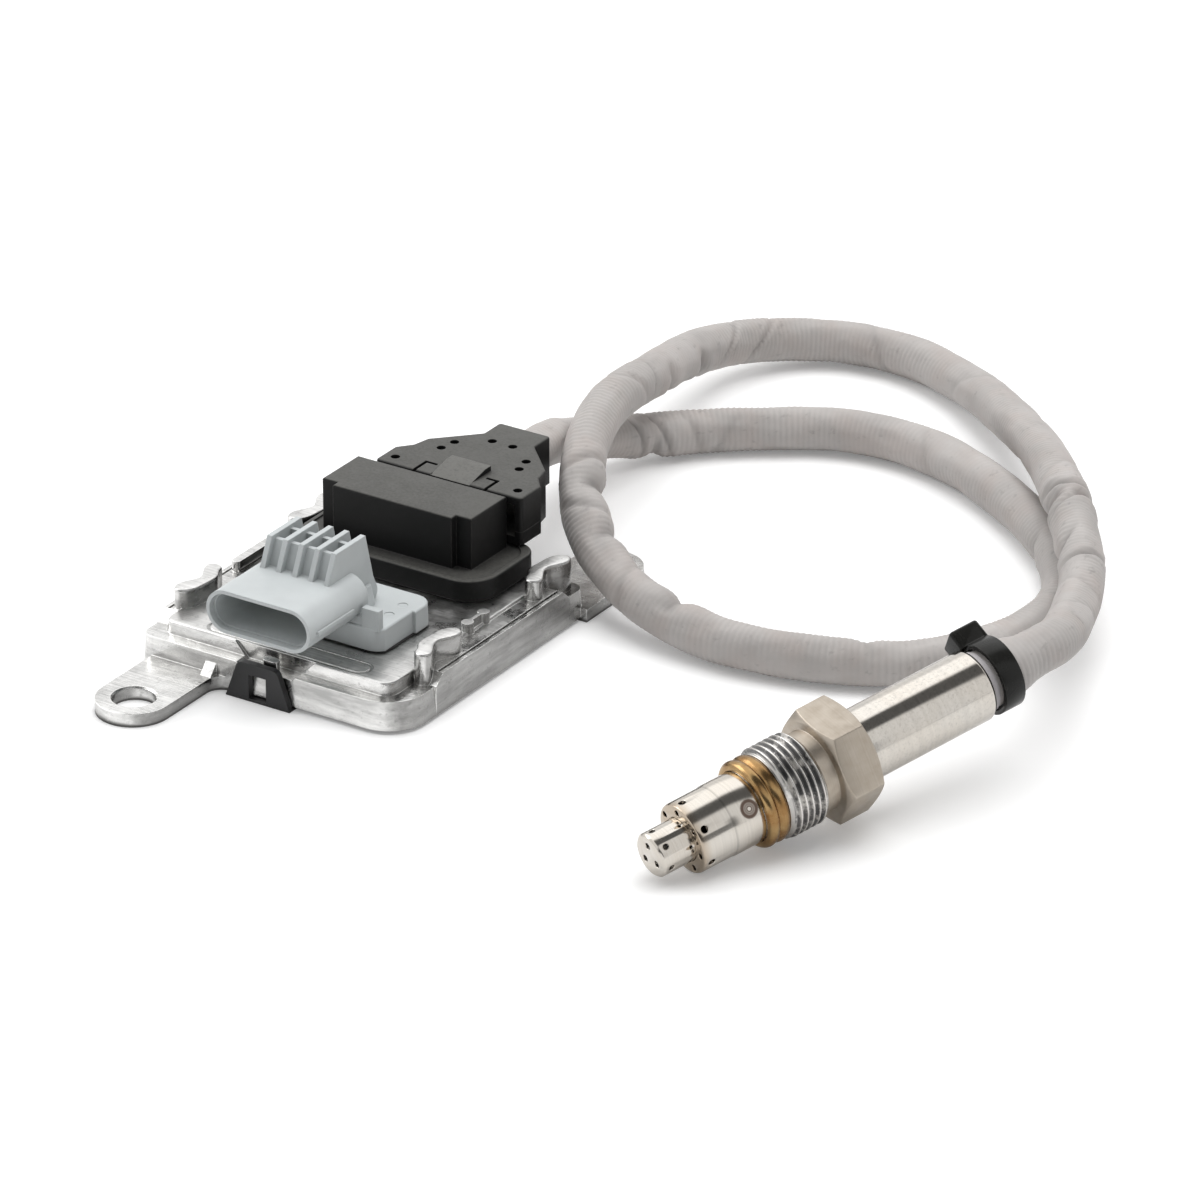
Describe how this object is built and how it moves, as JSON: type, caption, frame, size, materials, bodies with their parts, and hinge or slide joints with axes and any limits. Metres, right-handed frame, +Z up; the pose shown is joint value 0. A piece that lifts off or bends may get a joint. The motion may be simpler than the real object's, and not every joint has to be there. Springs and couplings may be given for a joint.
{
  "type": "nitrogen oxide sensor",
  "caption": "Exhaust nitrogen oxide sensor: a threaded probe joined by a ribbed conduit to a flat cast control unit with fixing ears and plug connectors.",
  "frame": {"origin": "midway between the two ear holes of the control unit, on the underside of the ears", "axes": "+Z up, square to the ears; +Y from the vehicle connector's side to the conduit's exit; +X across the unit towards the probe's side"},
  "size_m": [0.1821, 0.2418, 0.0311],
  "materials": {
    "cast_aluminium": "die-cast, satin with bright edges",
    "cover_plastic": "satin moulded",
    "seal_rubber": "matte",
    "board_laminate": "solder resist",
    "screw_steel": "zinc plated",
    "chip_plastic": "moulded package",
    "capacitor_ceramic": "fired ceramic",
    "grey_plastic": "satin moulded",
    "black_plastic": "fine textured",
    "contact_metal": "tin plated",
    "lead_insulation": "smooth",
    "conduit_grey": "ribbed, matte",
    "tie_nylon": "satin",
    "probe_steel": "polished, warm",
    "union_steel": "fine turned",
    "tinted_steel": "heat tinted gold",
    "fired_ceramic": "fired ceramic"
  },
  "bodies": {
    "sensor": {"housing": "cast_aluminium", "bottom_cover": "cover_plastic", "housing_seal": "seal_rubber", "circuit_board": "board_laminate", "board_screws": "screw_steel", "microcontroller": "chip_plastic", "heater_driver": "chip_plastic", "supply_coil": "chip_plastic", "capacitors": "capacitor_ceramic", "vehicle_connector": "grey_plastic", "vehicle_pins": "contact_metal", "vehicle_connector_gasket": "seal_rubber", "sensor_header": "black_plastic", "header_pins": "contact_metal", "sensor_header_gasket": "seal_rubber", "plug_contact_block": "black_plastic", "plug_cover": "black_plastic", "plug_base": "black_plastic", "plug_latch": "black_plastic", "plug_leads": "lead_insulation", "conduit": "conduit_grey", "cable_tie": "tie_nylon", "cable_grommet": "seal_rubber", "probe_leads": "lead_insulation", "sleeve": "probe_steel", "contact_holder": "fired_ceramic", "rear_bush": "fired_ceramic", "powder_seal": "fired_ceramic", "front_bush": "fired_ceramic", "sensing_element": "fired_ceramic", "sensor_body": "probe_steel", "seat_ring": "tinted_steel", "outer_tube": "probe_steel", "inner_tube": "probe_steel"},
    "union_screw": {"union_screw": "union_steel"}
  },
  "joints": [
    {"name": "union_screw_spin", "type": "hinge", "parent": "sensor", "child": "union_screw", "pos_m": [0.12094, -0.02245, 0.01352], "axis": [0.3759, 0.9075, 0.1874], "continuous": true}
  ]
}
